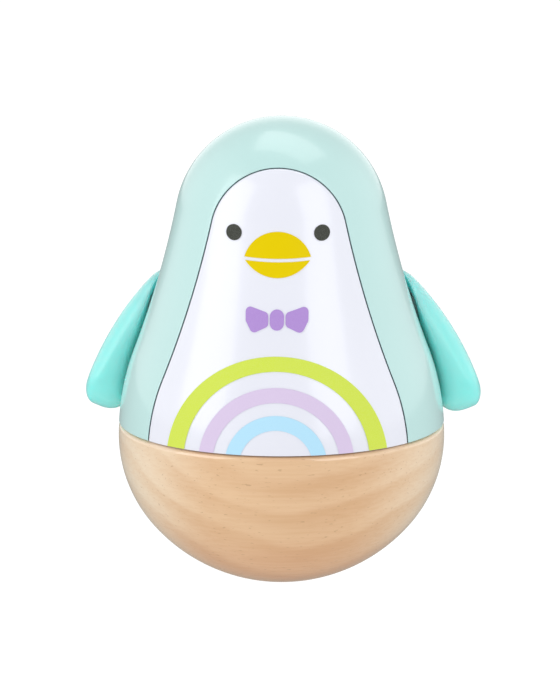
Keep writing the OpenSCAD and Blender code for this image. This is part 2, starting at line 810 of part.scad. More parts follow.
module print_beak() {
    up_r = arc_r(beak_w / 2, beak_up);
    down_r = arc_r(beak_w / 2, beak_down);
    mouth_r = arc_r(beak_w / 2, mouth_sag);
    color("#e6cd17") ink() translate([0, head_c.y - beak_drop]) difference() {
        intersection() {
            translate([0, beak_up - up_r]) circle(up_r);
            translate([0, down_r - beak_down]) circle(down_r);
        }
        translate([0, mouth_r - mouth_sag]) difference() {
            circle(mouth_r + mouth_t / 2);
            circle(mouth_r - mouth_t / 2);
        }
    }
}

module bow_wing() {
    inner_x = knot_w / 2 + bow_gap + bow_round;
    outer_x = bow_w / 2 - bow_round;
    hull() {
        for (side = [-1, 1]) translate([inner_x, side * (bow_inner_h / 2 - bow_round)])
            circle(bow_round, $fn = 32);
        translate([outer_x, 0]) circle(bow_round, $fn = 32);
        translate([outer_x, bow_h / 2 - bow_round]) circle(bow_round, $fn = 32);
        translate([outer_x * bow_lean_share, bow_round - bow_h / 2]) circle(bow_round, $fn = 32);
    }
}

module print_bow_tie() {
    color("#b592d5") ink() translate([0, head_c.y - bow_drop]) {
        for (side = [0, 1]) mirror([side, 0]) bow_wing();
        hull() for (side = [-1, 1]) translate([0, side * (knot_h - knot_w) / 2])
            circle(d = knot_w, $fn = 32);
    }
}

module rainbow_band(outer_r, flare = 0) {
    ink() translate([0, seam_z - rainbow_drop]) difference() {
        translate([0, -flare]) circle(outer_r);
        circle(outer_r - flare - band_w);
    }
}

module print_rainbow_outer() {
    color("#dae676") rainbow_band(rainbow_outer_r, rainbow_flare);
}

module print_rainbow_middle() {
    color("#dfcee8") rainbow_band(rainbow_middle_r);
}

module print_rainbow_inner() {
    color("#bee2f6") rainbow_band(rainbow_inner_r);
}

wooden_base();
counterweight();
weight_screws();
chassis_plate();
chassis_screws();
back_shell();
front_panel();
shell_screws();
on_left() wing();  // wing_left
wing();  // wing_right
on_left() wing_washer();  // wing_washer_left
wing_washer();  // wing_washer_right
on_left() wing_screw();  // wing_screw_left
wing_screw();  // wing_screw_right
chime_plate();
chime_screws();
chime_bridge();
bridge_screws();
hanger_pin();
swing_hanger();
clapper_pin();
clapper_stem();
clapper_bob();
print_eyes();
print_beak();
print_bow_tie();
print_rainbow_outer();
print_rainbow_middle();
print_rainbow_inner();
for (i = [1 : ROD_COUNT]) tone_rod(i);
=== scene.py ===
# Looks of a roly poly toy in the shape of a penguin: a lacquered bowl of turned wood, a glossy mint shell
# with a white panel and printed figures, and two satin wings. Sizes are in millimetres in the toy's own
# frame, with the face towards -Y, and MM turns them into metres.
import json
import math

import bmesh
import bpy
from mathutils import Matrix, Vector


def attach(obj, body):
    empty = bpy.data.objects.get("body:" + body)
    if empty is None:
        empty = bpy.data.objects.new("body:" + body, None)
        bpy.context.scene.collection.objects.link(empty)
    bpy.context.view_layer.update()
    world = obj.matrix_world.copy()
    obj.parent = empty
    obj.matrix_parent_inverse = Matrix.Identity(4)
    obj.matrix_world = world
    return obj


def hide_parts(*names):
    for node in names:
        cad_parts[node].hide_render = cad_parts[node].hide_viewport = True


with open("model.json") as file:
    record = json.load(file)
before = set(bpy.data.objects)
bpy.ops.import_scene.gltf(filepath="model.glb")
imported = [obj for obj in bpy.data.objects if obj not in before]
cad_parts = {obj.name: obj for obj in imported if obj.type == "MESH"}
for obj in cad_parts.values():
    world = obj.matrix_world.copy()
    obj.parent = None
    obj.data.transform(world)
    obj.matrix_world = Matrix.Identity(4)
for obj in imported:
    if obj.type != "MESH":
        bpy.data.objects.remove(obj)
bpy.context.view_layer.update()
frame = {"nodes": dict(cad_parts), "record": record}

MM = 0.001

# Wooden base
WIDEST_R = 43.0
FOOT_R = 7.0
UNDERSIDE_R = 45.25
SIDE_OFFSET = 7.3
SEAM_RISE = 3.45
RIM_ROUND = 1.2
POCKET_R = 22.8
POCKET_FLOOR = 11.0

# Body
BELLY_R = 63.7
NECK_R = 247.5
HEAD_R = 27.9
HEAD_RISE = 56.4
WALL = 2.4
SEAM_GAP = 0.35
PANEL_BORDER = 10.4
PANEL_FLARE = 0.8
PANEL_GAP = 0.25
EDGE_ROUND = 0.3

# Wings, in a frame with x down the shell, y across and z straight out of the shell
WING_PIVOT_RISE = 30.2
WING_BACK_ANGLE = math.radians(18)
WING_UP = 9.0
WING_DOWN = 33.5
WING_W = 19.0
WING_SHOULDER_W = 14.0
WING_CREST = 11.2
WING_CREST_DOWN = 28.5
WING_FACE_R = 78.0
WING_GAP = 0.4
WING_THIN = 1.2
WING_END_ROUND = 6.5
WING_TOP_ROUND = 2.5
WING_FACE_POWER = 2.3
WING_INNER_POWER = 4.0
WING_RIDGE_SHARES = (0.05, 0.75)
COLLAR_R = 5.0
COLLAR_GAP = 0.15
COLLAR_IN = 1.5
PEG_R = 3.0
PEG_L = 8.15
PEG_BORE_R = 1.35
PEG_BORE_L = 8.6

# Details inside the shell
BOSS_R = 7.5
BOSS_L = 8.0
BOSS_BORE_R = 3.06
POST_R = 4.0
POST_H = 12.0
POST_BORE_R = 1.35
POST_BORE_H = 8.6
POST_SINK = 0.4
POST_ANGLES = [90, 205, 335]
CHASSIS_T = 3.0
LEDGE_W = 2.2
LEDGE_T = 1.6
LEDGE_GRIP = 3.0
LEDGE_GAP = 0.15

# Prints
INK_T = 0.12
INK_LIFT = 0.03
PRINT_MARGIN = 0.15
EYE_R = 2.0
EYE_SPREAD = 22.4
EYE_RISE = 1.8
BEAK_W = 17.1
BEAK_UP = 6.7
BEAK_DOWN = 4.7
BEAK_DROP = 4.4
MOUTH_T = 0.85
MOUTH_SAG = 0.4
BOW_W = 15.9
BOW_H = 6.2
BOW_INNER_H = 4.0
BOW_ROUND = 1.2
BOW_GAP = 0.4
BOW_LEAN_SHARE = 0.85
KNOT_W = 3.6
KNOT_H = 5.1
BOW_DROP = 19.3
RAINBOW_RADII = {"outer": 28.3, "middle": 19.8, "inner": 13.0}
RAINBOW_FLARES = {"outer": 1.0, "middle": 0.0, "inner": 0.0}
BAND_W = 3.6
RAINBOW_DROP = 2.5

# Heights and centres that follow from the sizes, as (distance from the axis, height)
side_r = WIDEST_R - SIDE_OFFSET
underside_c = (0, math.sqrt(UNDERSIDE_R ** 2 - FOOT_R ** 2))
widest_z = underside_c[1] - math.sqrt((UNDERSIDE_R - side_r) ** 2 - SIDE_OFFSET ** 2)
side_c = (SIDE_OFFSET, widest_z)
seam_z = widest_z + SEAM_RISE
body_z = seam_z + SEAM_GAP
chassis_top = seam_z + CHASSIS_T
belly_c = (WIDEST_R - BELLY_R, widest_z)
head_c = (0, widest_z + HEAD_RISE)


def circle_touching(first, first_reach, second, second_reach):
    """Centre at the two given distances from two points, on the side away from the axis."""
    span = math.dist(first, second)
    way = ((second[0] - first[0]) / span, (second[1] - first[1]) / span)
    along = (span ** 2 + first_reach ** 2 - second_reach ** 2) / (2 * span)
    across = math.sqrt(first_reach ** 2 - along ** 2)
    return first[0] + along * way[0] + across * way[1], first[1] + along * way[1] - across * way[0]


def angle_between(start, end):
    return math.atan2(end[1] - start[1], end[0] - start[0])


def lerp(a, b, share):
    return a + (b - a) * share


def neck_at(belly):
    """Centre of the neck's hollow curve, which touches the belly's and the head's circles."""
    return circle_touching(belly, BELLY_R + NECK_R, head_c, HEAD_R + NECK_R)


neck_c = neck_at(belly_c)
belly_end_angle = angle_between(belly_c, neck_c)
head_end_angle = angle_between(head_c, neck_c)


def body_r(z, inset=0.0):
    """Radius of the body at a height, with its surface moved inwards by inset."""
    if z < belly_c[1] + (BELLY_R - inset) * math.sin(belly_end_angle):
        return belly_c[0] + math.sqrt((BELLY_R - inset) ** 2 - (z - belly_c[1]) ** 2)
    if z < head_c[1] + (HEAD_R - inset) * math.sin(head_end_angle):
        return neck_c[0] - math.sqrt((NECK_R + inset) ** 2 - (z - neck_c[1]) ** 2)
    return math.sqrt(max((HEAD_R - inset) ** 2 - (z - head_c[1]) ** 2, 0))


def on_body(x, z, inset=0.0, side=-1):
    """Point of the body's surface that is seen at x and z from the front, or from behind with side 1."""
    return x, side * math.sqrt(max(body_r(z, inset) ** 2 - x ** 2, 0)), z


def fillet(distance):
    """Depth of a rounded edge at a distance from the edge."""
    if distance >= EDGE_ROUND:
        return 0.0
    return EDGE_ROUND - math.sqrt(EDGE_ROUND ** 2 - (EDGE_ROUND - distance) ** 2)


# Steps of the rounded edges, as distances from the edge
EDGE_STEPS = [EDGE_ROUND * (1 - math.cos(math.radians(a))) for a in (0, 18, 36, 54, 72, 90)]
BELLY_ROWS, NECK_ROWS, HEAD_ROWS = 14, 36, 30


def outline(inset, foot=0.0):
    """Right half of the body's outline from the seam to the top, moved inwards by inset, and by less at the
    belly. Rows with the same number belong together at every inset."""
    belly = (belly_c[0] + PANEL_FLARE * inset / PANEL_BORDER, belly_c[1])
    neck = neck_at(belly)
    belly_end, head_end = angle_between(belly, neck), angle_between(head_c, neck)
    radius = BELLY_R - inset
    first = [math.asin((body_z + foot + step - belly[1]) / radius) for step in EDGE_STEPS]
    angles = first[:-1] + [lerp(first[-1], belly_end, i / BELLY_ROWS) for i in range(BELLY_ROWS)]
    points = [(belly[0] + radius * math.cos(a), belly[1] + radius * math.sin(a)) for a in angles]
    for i in range(NECK_ROWS):
        a = lerp(belly_end, head_end, i / NECK_ROWS)
        points.append((neck[0] - (NECK_R + inset) * math.cos(a), neck[1] - (NECK_R + inset) * math.sin(a)))
    for i in range(HEAD_ROWS + 1):
        a = lerp(head_end, math.pi / 2, i / HEAD_ROWS)
        points.append(((HEAD_R - inset) * math.cos(a), head_c[1] + (HEAD_R - inset) * math.sin(a)))
    return points


def spine(edge):
    """Points on the axis that the rows of an outline run to: level ones below the head, then its centre."""
    side_rows = len(edge) - HEAD_ROWS - 1
    foot, top = edge[0][1], edge[side_rows][1]
    rises = [(z - foot) / (top - foot) for x, z in edge[:side_rows]]
    return [(0, lerp(foot, head_c[1], rise)) for rise in rises] + [head_c] * (HEAD_ROWS + 1)


def inward(edge, steps):
    """Columns from an outline to its spine, without the outline itself."""
    middle = spine(edge)
    return [[(lerp(x, mx, i / steps), lerp(z, mz, i / steps)) for (x, z), (mx, mz) in zip(edge, middle)]
            for i in range(1, steps + 1)]


def grid_faces(columns, rows, closed=False):
    """Faces between neighbouring columns of points, where a column's points follow each other."""
    count = columns if closed else columns - 1
    return [(c * rows + r, (c + 1) % columns * rows + r, (c + 1) % columns * rows + r + 1, c * rows + r + 1)
            for c in range(count) for r in range(rows - 1)]


MERGE_DISTANCE = 1e-4
SHORTEST_EDGE = 1e-5
SHARP_ANGLE = math.radians(40)


def finished(name, points, faces, material, body, replaced, slot):
    """Object with smooth faces, that rides on a body and stands for CAD nodes."""
    mesh = bpy.data.meshes.new(name)
    mesh.from_pydata([Vector(p) * MM for p in points], [], faces)
    shape = bmesh.new()
    shape.from_mesh(mesh)
    bmesh.ops.remove_doubles(shape, verts=shape.verts, dist=MERGE_DISTANCE * MM)
    bmesh.ops.dissolve_degenerate(shape, edges=shape.edges, dist=SHORTEST_EDGE * MM)
    bmesh.ops.recalc_face_normals(shape, faces=shape.faces)
    shape.to_mesh(mesh)
    shape.free()
    mesh.shade_smooth()
    mesh.set_sharp_from_angle(angle=SHARP_ANGLE)
    mesh.materials.append(material)
    piece = bpy.data.objects.new(name, mesh)
    bpy.context.scene.collection.objects.link(piece)
    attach(piece, body)
    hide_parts(*replaced)


def mirrored(points, faces):
    """Points and faces with their mirror image across the toy's middle added."""
    start = len(points)
    return (points + [(-x, y, z) for x, y, z in points],
            faces + [tuple(start + i for i in reversed(face)) for face in faces])


def joined(*shapes):
    """Several lists of points and faces as one."""
    points, faces = [], []
    for more_points, more_faces in shapes:
        faces += [tuple(len(points) + i for i in face) for face in more_faces]
        points += more_points
    return points, faces


def merged(outer, inner, faces):
    """Drops points that lie on each other, as they do along the spine, and faces that have closed up."""
    places, kept, moved = {}, [], []
    for i, point in enumerate(outer):
        key = tuple(round(v, 4) for v in point)
        if key not in places:
            places[key] = len(kept)
            kept.append(i)
        moved.append(places[key])
    smaller = []
    for face in faces:
        face = [moved[i] for i in face]
        face = [v for i, v in enumerate(face) if v != face[i - 1]]
        if len(face) > 2:
            smaller.append(tuple(face))
    return [outer[i] for i in kept], [inner[i] for i in kept], smaller


def slab(outer, inner, faces):
    """Closed solid between two matching sheets, with walls along their open edges."""
    outer, inner, faces = merged(outer, inner, faces)
    count = len(outer)
    edges = {(face[i - 1], v) for face in faces for i, v in enumerate(face)}
    walls = [(b, a, a + count, b + count) for a, b in edges if (b, a) not in edges]
    back = [tuple(i + count for i in reversed(face)) for face in faces]
    return outer + inner, faces + back + sorted(walls)


def lathe(profile, segments, place=Matrix()):
    """Solid of revolution about z, from a profile that starts and ends on the axis or closes on itself."""
    columns = []
    for i in range(segments):
        turn = 2 * math.pi * i / segments
        x, y = math.cos(turn), math.sin(turn)
        columns.append([tuple(place @ Vector((r * x, r * y, z))) for r, z in profile])
    points = [p for column in columns for p in column]
    return points, grid_faces(segments, len(profile), closed=True)


def arc(centre, radius, start, end, steps):
    return [(centre[0] + radius * math.cos(lerp(start, end, i / steps)),
             centre[1] + radius * math.sin(lerp(start, end, i / steps))) for i in range(steps + 1)]


# Colours and materials
def srgb(red, green, blue):
    """Linear colour from 8-bit display values."""
    def linear(v):
        v /= 255
        return v / 12.92 if v <= 0.04045 else ((v + 0.055) / 1.055) ** 2.4
    return linear(red), linear(green), linear(blue), 1.0


class Shading:
    """A material's nodes, with short calls to add and link them."""

    def __init__(self, name):
        self.material = bpy.data.materials.new(name)
        self.material.use_nodes = True
        self.tree = self.material.node_tree
        self.shader = self.tree.nodes["Principled BSDF"]
        self.coords = self.add("ShaderNodeTexCoord").outputs["Object"]

    def add(self, kind, inputs=None, **settings):
        made = self.tree.nodes.new(kind)
        for key, value in settings.items():
            setattr(made, key, value)
        for key, value in (inputs or {}).items():
            self.put(made.inputs[key], value)
        return made

    def put(self, socket, value):
        if isinstance(value, bpy.types.NodeSocket):
            self.tree.links.new(value, socket)
        else:
            socket.default_value = value

    def set(self, **inputs):
        for key, value in inputs.items():
            self.put(self.shader.inputs[key.replace("_", " ")], value)

    def stretched(self, per_mm, turn=(0, 0, 0)):
        """Object coordinates with so many features per millimetre along each axis."""
        inputs = {"Vector": self.coords, "Rotation": turn, "Scale": tuple(v / MM for v in per_mm)}
        return self.add("ShaderNodeMapping", inputs).outputs[0]

    def noise(self, per_mm, detail=3.0, roughness=0.5):
        per_mm = per_mm if isinstance(per_mm, tuple) else (per_mm,) * 3
        inputs = {"Vector": self.stretched(per_mm), "Scale": 1.0, "Detail": detail, "Roughness": roughness}
        return self.add("ShaderNodeTexNoise", inputs).outputs["Fac"]

    def remap(self, value, low, high, to_low, to_high):
        inputs = {"Value": value, "From Min": low, "From Max": high, "To Min": to_low, "To Max": to_high}
        return self.add("ShaderNodeMapRange", inputs, interpolation_type="SMOOTHSTEP").outputs[0]

    def math(self, operation, first, second=0.0):
        return self.add("ShaderNodeMath", {0: first, 1: second}, operation=operation).outputs[0]

    def mix(self, share, first, second, blend="MIX"):
        node = self.add("ShaderNodeMix", data_type="RGBA", blend_type=blend)
        self.put(node.inputs["Factor"], share)
        first_colour, second_colour = [s for s in node.inputs if s.type == "RGBA"]
        self.put(first_colour, first)
        self.put(second_colour, second)
        return [s for s in node.outputs if s.type == "RGBA"][0]

    def bump(self, height, depth_mm):
        inputs = {"Height": height, "Distance": depth_mm * MM, "Strength": 1.0}
        return self.add("ShaderNodeBump", inputs).outputs[0]


LAYER_SPACING = 8.5
LAYER_SAG_R = 46.0
LAYER_TILT = (math.radians(2), math.radians(-3), 0)
LAYER_STRENGTH = 0.8
# Painted shade: up to this height above the floor the wood is tinted darker and warmer
PAINTED_SHADE_HEIGHT = 24.0
# Painted reflection: between these distances from the middle in X, the wood is mixed towards paler colours
PAINTED_SHEEN_START, PAINTED_SHEEN_END = 16.0, 42.0
PAINTED_SHEEN_SHARE = 0.8
PAINTED_SHADE_TINT = (1.0, 0.84, 0.75, 1.0)


def turned_wood():
    """Lacquered beech with sagging growth layers, and fibres and pores along X. Painted shade makes it darker
    and warmer low down, and a painted reflection makes it paler at the sides."""
    s = Shading("turned_wood")
    light, dark, pore = srgb(238, 200, 157), srgb(223, 177, 131), srgb(170, 122, 82)
    # Paler colours of the painted reflection at the sides
    pale_light, pale_dark = srgb(252, 236, 210), srgb(238, 209, 172)
    place = s.add("ShaderNodeSeparateXYZ", {0: s.stretched((1, 1, 1), LAYER_TILT)}).outputs
    sag = s.math("DIVIDE", s.math("POWER", place["X"], 2.0), 2 * LAYER_SAG_R)
    height = s.math("DIVIDE", s.math("SUBTRACT", place["Z"], sag), LAYER_SPACING)
    drift = s.remap(s.noise((0.014, 0.014, 0.03), 2.0), 0, 1, -0.7, 0.7)
    layer = s.math("FRACT", s.math("ADD", height, drift))
    band = s.math("MULTIPLY", s.remap(layer, 0.05, 0.75, 0, 1), s.remap(layer, 0.75, 1.0, 1, 0))
    band = s.math("MULTIPLY", band, s.remap(s.noise(0.03), 0.3, 0.7, 0.35, 0.8))
    fibre = s.remap(s.noise((0.06, 0.5, 1.4), 5.0, 0.6), 0.35, 0.7, 0, 0.3)
    blotch = s.remap(s.noise(0.02, 2.0), 0.3, 0.7, 0, 0.3)
    tone = s.math("ADD", s.math("MULTIPLY", band, LAYER_STRENGTH), s.math("ADD", fibre, blotch))
    # Painted reflection: the colour turns paler towards the left and right sides, where the bright
    # surroundings reflect
    painted_sheen = s.remap(s.math("ABSOLUTE", place["X"]), PAINTED_SHEEN_START, PAINTED_SHEEN_END, 0, PAINTED_SHEEN_SHARE)
    colour = s.mix(tone, s.mix(painted_sheen, light, pale_light), s.mix(painted_sheen, dark, pale_dark))
    # Painted shade: the colour is multiplied darker and warmer towards the bottom
    painted_shade = s.remap(place["Z"], 0, PAINTED_SHADE_HEIGHT, 1, 0)
    colour = s.mix(painted_shade, colour, PAINTED_SHADE_TINT, "MULTIPLY")
    pores = s.remap(s.noise((0.5, 1.6, 2.2), 1.0, 0.4), 0.67, 0.78, 0, 0.42)
    colour = s.mix(pores, colour, pore)
    s.set(Base_Color=colour, Roughness=s.remap(fibre, 0, 0.3, 0.4, 0.5), Coat_Weight=1.0, Coat_Roughness=0.07,
          Coat_IOR=1.8, Sheen_Weight=0.3, Sheen_Roughness=0.35, Sheen_Tint=srgb(255, 246, 225),
          Normal=s.bump(s.math("SUBTRACT", fibre, pores), 0.01))
    return s.material


TONE_DRIFT = 0.02
HAZE_DRIFT = 0.05
BLEED_SHARES = (0.4, 1.0, 1.0)


def gloss_plastic(name, colour, roughness, coat, coat_roughness, bleed_mm=0.0):
    """Glossy moulding with a faint drift of tone and an almost even surface. Light spreads bleed_mm in it."""
    s = Shading(name)
    deeper = tuple(v * (1 - TONE_DRIFT) for v in colour[:3]) + (1.0,)
    drift = s.remap(s.noise(0.03, 2.0), 0.3, 0.7, 0, 1)
    haze = s.remap(s.noise(0.05, 2.0), 0.3, 0.7, roughness * (1 - HAZE_DRIFT), roughness * (1 + HAZE_DRIFT))
    s.set(Base_Color=s.mix(drift, colour, deeper), Roughness=haze, Coat_Weight=coat,
          Coat_Roughness=coat_roughness, Normal=s.bump(s.noise(0.05, 1.0), 0.01),
          Subsurface_Weight=1.0 if bleed_mm else 0.0, Subsurface_Radius=BLEED_SHARES,
          Subsurface_Scale=bleed_mm * MM)
    return s.material


def ink(name, colour, paler=0.04):
    """Flat printed ink with the fine grain of its dots."""
    s = Shading(name)
    pale = tuple(lerp(v, 1.0, paler) for v in colour[:3]) + (1.0,)
    grain = s.remap(s.noise(5.0, 2.0), 0.4, 0.65, 0, 1)
    s.set(Base_Color=s.mix(grain, colour, pale), Roughness=s.remap(grain, 0, 1, 0.4, 0.5),
          Specular_IOR_Level=0.08, Normal=s.bump(s.noise(1.5), 0.002))
    return s.material


def moulded_plastic():
    """Plain grey moulding with a fine spark-eroded texture."""
    s = Shading("moulded_plastic")
    grain = s.noise(3.0, 4.0)
    drift = s.remap(s.noise(0.08), 0.3, 0.7, 0, 1)
    s.set(Base_Color=s.mix(drift, srgb(217, 218, 220), srgb(205, 207, 210)),
          Roughness=s.remap(grain, 0.3, 0.7, 0.45, 0.6), Normal=s.bump(grain, 0.02))
    return s.material


def bright_steel():
    """Drawn steel with fine lines along its length."""
    s = Shading("bright_steel")
    lines = s.noise((6.0, 6.0, 0.1), 4.0)
    s.set(Base_Color=s.mix(lines, srgb(196, 200, 206), srgb(160, 165, 172)), Metallic=1.0,
          Roughness=s.remap(lines, 0.3, 0.7, 0.2, 0.36), Normal=s.bump(lines, 0.004))
    return s.material


def cast_iron():
    """Dark casting with a sandy skin and a few rusty spots."""
    s = Shading("cast_iron")
    sand = s.noise(1.4, 6.0, 0.65)
    rust = s.remap(s.noise(0.1, 4.0), 0.58, 0.72, 0, 0.5)
    s.set(Base_Color=s.mix(rust, s.mix(sand, srgb(92, 94, 98), srgb(122, 124, 128)), srgb(124, 86, 64)),
          Metallic=0.7, Roughness=s.remap(sand, 0.3, 0.7, 0.5, 0.75), Normal=s.bump(sand, 0.12))
    return s.material


MATERIALS = {
    "beech_wood": turned_wood(),
    "mint_plastic": gloss_plastic("mint_plastic", srgb(192, 228, 225), 0.3, 0.6, 0.1),
    "white_plastic": gloss_plastic("white_plastic", srgb(234, 236, 246), 0.25, 0.6, 0.12),
    "turquoise_plastic": gloss_plastic("turquoise_plastic", srgb(145, 234, 228), 0.36, 1.0, 0.28,
                                       bleed_mm=8.0),
    "grey_plastic": moulded_plastic(),
    "steel": bright_steel(),
    "iron": cast_iron(),
    "dark_ink": ink("dark_ink", srgb(62, 65, 58)),
    "yellow_ink": ink("yellow_ink", srgb(228, 202, 0), 0.0),
    "purple_ink": ink("purple_ink", srgb(176, 142, 211)),
    "green_ink": ink("green_ink", srgb(208, 226, 82)),
    "lilac_ink": ink("lilac_ink", srgb(216, 199, 229)),
    "blue_ink": ink("blue_ink", srgb(180, 225, 248)),
}
SLOT_OF = {part["node"]: part["material_slot"] for part in frame["record"]["subparts"]}


def dressed(name, shape, body, node):
    """Piece that stands for one CAD node, in that node's material."""
    finished(name, *shape, MATERIALS[SLOT_OF[node]], body, [node], SLOT_OF[node])


# Wooden base
BASE_SEGMENTS = 256
FOOT_STEPS, UNDERSIDE_STEPS, SIDE_STEPS, RIM_STEPS = 6, 48, 32, 10


def base_shape():
    underside_end = angle_between(underside_c, side_c)
    rim_z = seam_z - RIM_ROUND
    rim_x = SIDE_OFFSET + math.sqrt((side_r - RIM_ROUND) ** 2 - (rim_z - widest_z) ** 2)
    rim_start = angle_between(side_c, (rim_x, rim_z))
    foot_start = angle_between(underside_c, (FOOT_R, 0))
    foot = [(FOOT_R * i / FOOT_STEPS, 0) for i in range(FOOT_STEPS)]
    underside = arc(underside_c, UNDERSIDE_R, foot_start, underside_end, UNDERSIDE_STEPS)
    side = arc(side_c, side_r, underside_end, rim_start, SIDE_STEPS)
    rim = arc((rim_x, rim_z), RIM_ROUND, rim_start, math.pi / 2, RIM_STEPS)
    pocket = [(POCKET_R, seam_z), (POCKET_R, POCKET_FLOOR), (0, POCKET_FLOOR)]
    return lathe(foot + underside + side[1:] + rim[1:] + pocket, BASE_SEGMENTS)


dressed("turned_base", base_shape(), "body", "wooden_base")

# Back shell: from the panel's edge round the side to the middle of the back
BAND_STEPS, BACK_STEPS, LEDGE_STEPS = 22, 22, 4
TUBE_SEGMENTS = 48


def sheet_points(columns):
    """Points of the outer and inner sheets, from columns of outline, depth below the surface, inner outline
    and side."""
    outer, inner = [], []
    for edge, depth, inner_edge, side in columns:
        for (x, z), (inner_x, inner_z) in zip(edge, inner_edge):
            lip = max(depth, fillet(z - body_z))
            outer.append(on_body(x, z, lip, side))
            inner.append(on_body(inner_x, inner_z, WALL, side))
    return outer, inner


def shell_sheets():
    edge_inset = PANEL_BORDER - PANEL_GAP / 2
    inner_share = (edge_inset - WALL) / edge_inset
    columns = []

    def add(inset, depth, side):
        columns.append((outline(inset), depth, outline(WALL + inset * inner_share), side))

    for step in EDGE_STEPS:
        add(edge_inset - step, fillet(step), -1)
    for i in range(1, BAND_STEPS + 1):
        add((edge_inset - EDGE_ROUND) * (1 - i / BAND_STEPS) ** 2, 0.0, -1)
    for i in range(1, BAND_STEPS + 1):
        add(edge_inset * (i / BAND_STEPS) ** 2, 0.0, 1)
    middle = inward(outline(edge_inset), BACK_STEPS)
    columns += [(column, 0.0, column, 1) for column in middle]
    outer, inner = sheet_points(columns)
    return outer, inner, grid_faces(len(columns), len(columns[0][0]))


def doubled(outer, inner, faces):
    """Sheets with their mirror images."""
    both_outer, both_faces = mirrored(outer, faces)
    return slab(both_outer, mirrored(inner, faces)[0], both_faces)


def on_wing(side):
    """Frame of a wing on the right side, or on the left with side -1."""
    pivot_z = seam_z + WING_PIVOT_RISE
    pivot_r = body_r(pivot_z)
    tilt = angle_between((pivot_r, pivot_z), neck_c)
    place = (Matrix.Rotation(WING_BACK_ANGLE, 4, "Z") @ Matrix.Translation((pivot_r, 0, pivot_z))
             @ Matrix.Rotation(math.pi / 2 - tilt, 4, "Y"))
    return Matrix.Diagonal((side, 1, 1, 1)) @ place


def tube(outer_r, bore_r, low, high, place, bore_low=None):
    """Tube along z, or a post with a blind bore from its lower end up to bore_low."""
    if bore_low is None:
        profile = [(bore_r, low), (outer_r, low), (outer_r, high), (bore_r, high), (bore_r, low)]
    else:
        profile = [(0, bore_low), (bore_r, bore_low), (bore_r, low), (outer_r, low), (outer_r, high),
                   (0, high)]
    return lathe(profile, TUBE_SEGMENTS, place)


def inside_wall(point):
    """The point, drawn back to the middle of the wall where it would lie further out."""
    x, y, z = point
    share = min(1, body_r(z, WALL / 2) / math.hypot(x, y)) if x or y else 1
    return x * share, y * share, z


def shell_posts():
    ring_r = body_r(chassis_top, WALL) - POST_R + POST_SINK
    posts = []
    for a in POST_ANGLES:
        place = Matrix.Rotation(math.radians(a), 4, "Z") @ Matrix.Translation((ring_r, 0, 0))
        points, faces = tube(POST_R, POST_BORE_R, chassis_top, chassis_top + POST_H, place,
                             chassis_top + POST_BORE_H)
        posts.append(([inside_wall(p) for p in points], faces))
    return posts


def panel_ledge():
    """Lip behind the panel's edge, that the panel rests on."""
    foot = CHASSIS_T
    outer, inner = [], []
    for i in range(LEDGE_STEPS + 1):
        inset = lerp(PANEL_BORDER - LEDGE_GRIP, PANEL_BORDER + LEDGE_W, i / LEDGE_STEPS)
        for x, z in outline(inset, foot):
            outer.append(on_body(x, z, WALL + LEDGE_GAP))
            inner.append(on_body(x, z, WALL + LEDGE_GAP + LEDGE_T))
    rows = len(outline(PANEL_BORDER, foot))
    return doubled(outer, inner, grid_faces(LEDGE_STEPS + 1, rows))


bosses = [tube(BOSS_R, BOSS_BORE_R, -BOSS_L, -WALL / 2, on_wing(side)) for side in (-1, 1)]
shell = joined(doubled(*shell_sheets()), panel_ledge(), *bosses, *shell_posts())
dressed("mint_shell", shell, "body", "back_shell")

# Front panel
PANEL_STEPS = 30


def panel_sheets():
    edge_inset = PANEL_BORDER + PANEL_GAP / 2
    columns = []
    for step in EDGE_STEPS:
        edge = outline(edge_inset + step)
        columns.append((edge, fillet(step), edge, -1))
    columns += [(column, 0.0, column, -1) for column in inward(outline(edge_inset + EDGE_ROUND), PANEL_STEPS)]
    outer, inner = sheet_points(columns)
    return outer, inner, grid_faces(len(columns), len(columns[0][0]))


dressed("white_panel", doubled(*panel_sheets()), "body", "front_panel")


# Wings
WING_RINGS, WING_SIDES, PEG_SEGMENTS = 72, 96, 64
shoulder_x = WING_SHOULDER_W / 2 - WING_UP
tip_x = WING_DOWN - WING_W / 2
taper = math.asin((WING_W - WING_SHOULDER_W) / 2 / (tip_x - shoulder_x))


def wing_half_w(x):
    """Half width: a small circle at the shoulder and a large one at the tip, joined by their tangents."""
    if x < shoulder_x - WING_SHOULDER_W / 2 * math.sin(taper):
        return math.sqrt(max((WING_SHOULDER_W / 2) ** 2 - (x - shoulder_x) ** 2, 0))
    if x > tip_x - WING_W / 2 * math.sin(taper):
        return math.sqrt(max((WING_W / 2) ** 2 - (x - tip_x) ** 2, 0))
    return WING_SHOULDER_W / 2 / math.cos(taper) + (x - shoulder_x) * math.tan(taper)


def shell_rise(distance):
    """Height of the shell over the wing's base plane, at a distance down from the pivot."""
    pivot = (body_r(seam_z + WING_PIVOT_RISE), seam_z + WING_PIVOT_RISE)
    out = angle_between(pivot, neck_c)
    belly_x = (belly_c[0] - pivot[0]) * math.sin(out) - (belly_c[1] - pivot[1]) * math.cos(out)
    belly_z = (belly_c[0] - pivot[0]) * math.cos(out) + (belly_c[1] - pivot[1]) * math.sin(out)
    neck_end = belly_x + BELLY_R * math.sin(out - belly_end_angle)
    if distance < neck_end:
        return NECK_R - math.sqrt(NECK_R ** 2 - distance ** 2)
    return belly_z + math.sqrt(BELLY_R ** 2 - (distance - belly_x) ** 2)


def round_end(gap, length):
    return 1.0 if gap > length else math.sqrt(max(1 - (1 - gap / length) ** 2, 0))


